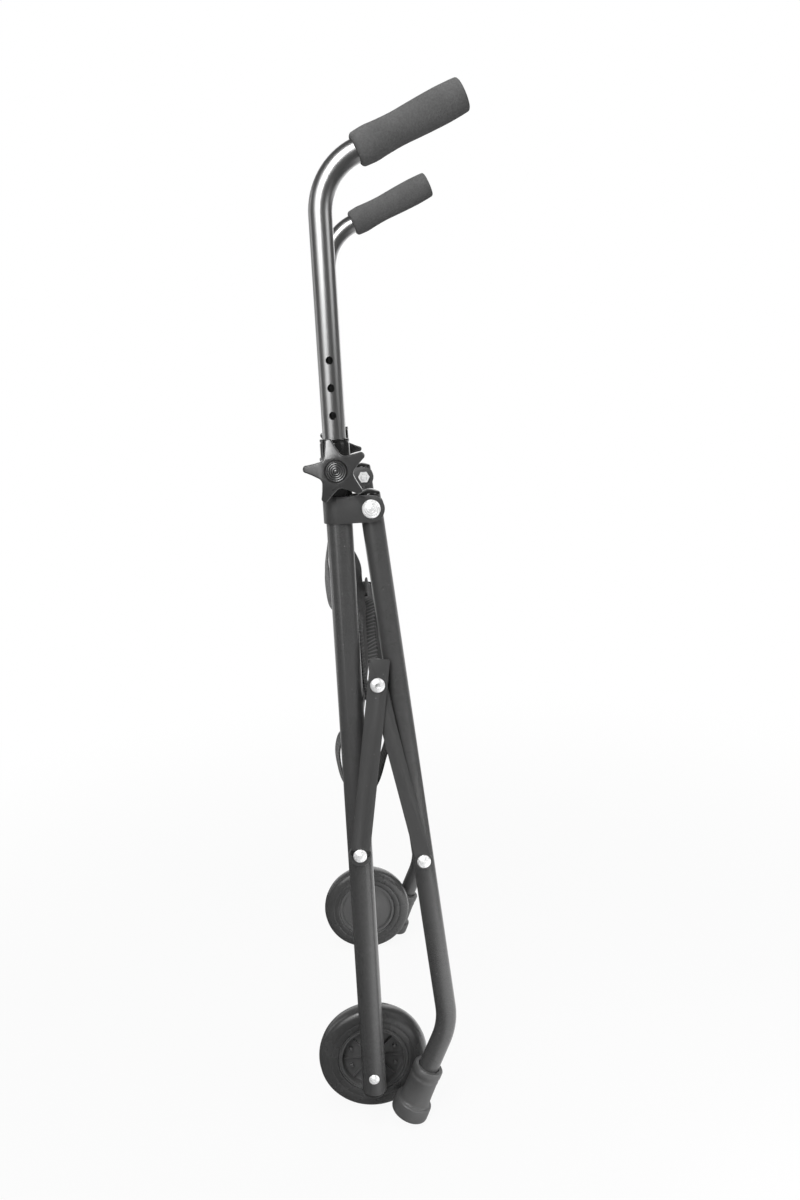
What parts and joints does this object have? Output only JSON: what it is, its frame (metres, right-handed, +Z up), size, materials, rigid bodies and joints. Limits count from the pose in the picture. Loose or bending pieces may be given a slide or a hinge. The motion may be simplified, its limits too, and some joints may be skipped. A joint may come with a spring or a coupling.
{
  "type": "two-wheeled folding walker",
  "caption": "Folded walking frame with two front wheels, rear legs on rubber ferrules, star knobs for handle height, folding side braces and a release strap.",
  "frame": {"origin": "on the floor, under the middle of the walker's bounding box as it stands folded", "axes": "+Z up, the walker travels towards -Y, its left side (as its user sees it) is at +X; the front tubes are vertical"},
  "size_m": [0.4668, 0.2006, 1.0532],
  "materials": {
    "frame_paint": "satin metallic grey powder coat",
    "bracket_paint": "satin dark grey powder coat",
    "handle_metal": "polished drawn tube",
    "bright_steel": "bright plated",
    "black_plastic": "glossy black",
    "knob_plastic": "moulded, softly worn",
    "grip_foam": "matt closed-cell foam",
    "ferrule_rubber": "matt grey rubber",
    "tyre_rubber": "smooth solid tyre",
    "rim_plastic": "moulded dark plastic",
    "strap_webbing": "ribbed black webbing",
    "nylon": "plain nylon"
  },
  "bodies": {
    "front_frame": {"left_front_tube": "frame_paint", "left_tube_end_cap": "black_plastic", "left_height_sleeve": "black_plastic", "left_pivot_bracket": "bracket_paint", "left_pivot_bolt": "bright_steel", "left_pivot_nut": "bright_steel", "left_pivot_bush": "nylon", "left_front_link_rivet": "bright_steel", "left_link_washer": "nylon", "left_axle_bolt": "bright_steel", "left_axle_spacer": "black_plastic", "left_axle_nut": "bright_steel", "right_front_tube": "frame_paint", "right_tube_end_cap": "black_plastic", "right_height_sleeve": "black_plastic", "right_pivot_bracket": "bracket_paint", "right_pivot_bolt": "bright_steel", "right_pivot_nut": "bright_steel", "right_pivot_bush": "nylon", "right_front_link_rivet": "bright_steel", "right_link_washer": "nylon", "right_axle_bolt": "bright_steel", "right_axle_spacer": "black_plastic", "right_axle_nut": "bright_steel", "lower_cross_tube": "frame_paint", "upper_cross_tube": "frame_paint"},
    "strap": {"strap_rear_run": "strap_webbing", "strap_front_run": "strap_webbing"},
    "left_handle": {"left_handle_tube": "handle_metal", "left_grip": "grip_foam"},
    "left_knob": {"left_star_knob": "knob_plastic", "left_knob_stud": "bright_steel", "left_knob_cap": "knob_plastic"},
    "left_rear_leg": {"left_rear_leg": "frame_paint", "left_leg_plug": "black_plastic", "left_ferrule": "ferrule_rubber", "left_rear_link_rivet": "bright_steel"},
    "left_front_link": {"left_front_link": "bracket_paint", "left_link_bolt": "bright_steel"},
    "left_rear_link": {"left_rear_link": "bracket_paint", "left_link_nut": "bright_steel"},
    "left_wheel": {"left_tyre": "tyre_rubber", "left_wheel_rim": "rim_plastic", "left_wheel_bush": "nylon"},
    "right_handle": {"right_handle_tube": "handle_metal", "right_grip": "grip_foam"},
    "right_knob": {"right_star_knob": "knob_plastic", "right_knob_stud": "bright_steel", "right_knob_cap": "knob_plastic"},
    "right_rear_leg": {"right_rear_leg": "frame_paint", "right_leg_plug": "black_plastic", "right_ferrule": "ferrule_rubber", "right_rear_link_rivet": "bright_steel"},
    "right_front_link": {"right_front_link": "bracket_paint", "right_link_bolt": "bright_steel"},
    "right_rear_link": {"right_rear_link": "bracket_paint", "right_link_nut": "bright_steel"},
    "right_wheel": {"right_tyre": "tyre_rubber", "right_wheel_rim": "rim_plastic", "right_wheel_bush": "nylon"}
  },
  "joints": [
    {"name": "left_leg_fold", "type": "hinge", "parent": "front_frame", "child": "left_rear_leg", "pos_m": [0.2, -0.00906, 0.6718], "axis": [1, 0, 0], "range_deg": [0, 52]},
    {"name": "left_front_link_turn", "type": "hinge", "parent": "front_frame", "child": "left_front_link", "pos_m": [0.2, -0.04026, 0.3195], "axis": [1, 0, 0], "range_deg": [-49.95, 0]},
    {"name": "left_rear_link_turn", "type": "hinge", "parent": "left_rear_leg", "child": "left_rear_link", "pos_m": [0.2, 0.02452, 0.307], "axis": [1, 0, 0], "range_deg": [0, 45.08]},
    {"name": "left_height_slide", "type": "slide", "parent": "front_frame", "child": "left_handle", "axis": [0, 0, 1], "range_m": [-0.1016, 0.0762]},
    {"name": "left_knob_turn", "type": "hinge", "parent": "front_frame", "child": "left_knob", "pos_m": [0.2, -0.04026, 0.7099], "axis": [1, 0, 0], "range_deg": [0, 1080]},
    {"name": "left_wheel_spin", "type": "hinge", "parent": "front_frame", "child": "left_wheel", "pos_m": [0.1685, -0.04026, 0.06], "axis": [1, 0, 0], "continuous": true},
    {"name": "right_leg_fold", "type": "hinge", "parent": "front_frame", "child": "right_rear_leg", "pos_m": [-0.2, -0.00906, 0.6718], "axis": [1, 0, 0], "range_deg": [0, 52]},
    {"name": "right_front_link_turn", "type": "hinge", "parent": "front_frame", "child": "right_front_link", "pos_m": [-0.2, -0.04026, 0.3195], "axis": [1, 0, 0], "range_deg": [-49.95, 0]},
    {"name": "right_rear_link_turn", "type": "hinge", "parent": "right_rear_leg", "child": "right_rear_link", "pos_m": [-0.2, 0.02452, 0.307], "axis": [1, 0, 0], "range_deg": [0, 45.08]},
    {"name": "right_height_slide", "type": "slide", "parent": "front_frame", "child": "right_handle", "axis": [0, 0, 1], "range_m": [-0.1016, 0.0762]},
    {"name": "right_knob_turn", "type": "hinge", "parent": "front_frame", "child": "right_knob", "pos_m": [-0.2, -0.04026, 0.7099], "axis": [-1, 0, 0], "range_deg": [0, 1080]},
    {"name": "right_wheel_spin", "type": "hinge", "parent": "front_frame", "child": "right_wheel", "pos_m": [-0.1685, -0.04026, 0.06], "axis": [1, 0, 0], "continuous": true},
    {"name": "strap_swing", "type": "hinge", "parent": "left_rear_link", "child": "strap", "pos_m": [0, -0.01266, 0.498], "axis": [1, 0, 0], "range_deg": [-97.08, 0]}
  ],
  "couplings": [
    {"joint": "left_front_link_turn", "follows": "left_leg_fold", "ratio": -0.96018},
    {"joint": "left_rear_link_turn", "follows": "left_leg_fold", "ratio": 0.86659},
    {"joint": "right_front_link_turn", "follows": "left_leg_fold", "ratio": -0.96018},
    {"joint": "right_rear_link_turn", "follows": "left_leg_fold", "ratio": 0.86659},
    {"joint": "right_leg_fold", "follows": "left_leg_fold", "ratio": 1},
    {"joint": "strap_swing", "follows": "left_leg_fold", "ratio": -1.8666}
  ]
}
